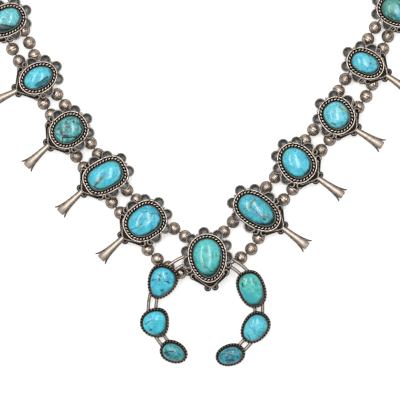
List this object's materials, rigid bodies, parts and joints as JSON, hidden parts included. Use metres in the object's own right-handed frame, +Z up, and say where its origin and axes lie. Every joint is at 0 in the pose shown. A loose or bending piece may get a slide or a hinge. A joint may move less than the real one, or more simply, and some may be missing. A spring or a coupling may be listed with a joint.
{
  "type": "squash blossom necklace",
  "caption": "Silver squash blossom necklace with turquoise stations and a crescent naja, laid face up on a flat surface.",
  "frame": {"origin": "on the surface the necklace lies on, under the middle of its overall box", "axes": "+Z up from the surface towards the viewer, -Y towards the crescent at the front, +Y towards the clasp at the back of the neck, +X to the right as seen from above"},
  "size_m": [0.2731, 0.3046, 0.0161],
  "materials": {
    "silver": "oxidised sterling silver, satin on the raised parts and brown-black in the recesses, as the plaques, blossoms and crescent show",
    "bead_silver": "worn warm sterling silver, satin with fine scratches and a seam round the middle",
    "stringing": "greyish stringing, mostly hidden inside the beads",
    "turquoise": "polished sky-blue turquoise with brown and black matrix",
    "green_turquoise": "polished blue-green turquoise with fine brown matrix",
    "dark_turquoise": "polished deep blue turquoise with heavy dark matrix"
  },
  "bodies": {
    "root": {"setting_l5": "silver", "setting_l4": "silver", "setting_l3": "silver", "setting_l2": "silver", "setting_l1": "silver", "setting_center": "silver", "setting_r1": "silver", "setting_r2": "silver", "setting_r3": "silver", "setting_r4": "silver", "setting_r5": "silver", "crescent": "silver", "stone_l5": "turquoise", "stone_l4": "turquoise", "stone_l3": "dark_turquoise", "stone_l2": "turquoise", "stone_l1": "turquoise", "stone_center": "green_turquoise", "stone_r1": "turquoise", "stone_r2": "turquoise", "stone_r3": "turquoise", "stone_r4": "turquoise", "stone_r5": "green_turquoise", "crescent_stone_1": "turquoise", "crescent_stone_2": "turquoise", "crescent_stone_3": "dark_turquoise", "crescent_stone_4": "green_turquoise", "crescent_stone_5": "turquoise", "crescent_stone_6": "dark_turquoise", "inner_beads_left": "bead_silver", "inner_beads_right": "bead_silver", "outer_beads_left": "bead_silver", "outer_beads_right": "bead_silver", "inner_thread": "stringing", "outer_thread": "stringing", "clasp": "silver"}
  },
  "joints": []
}
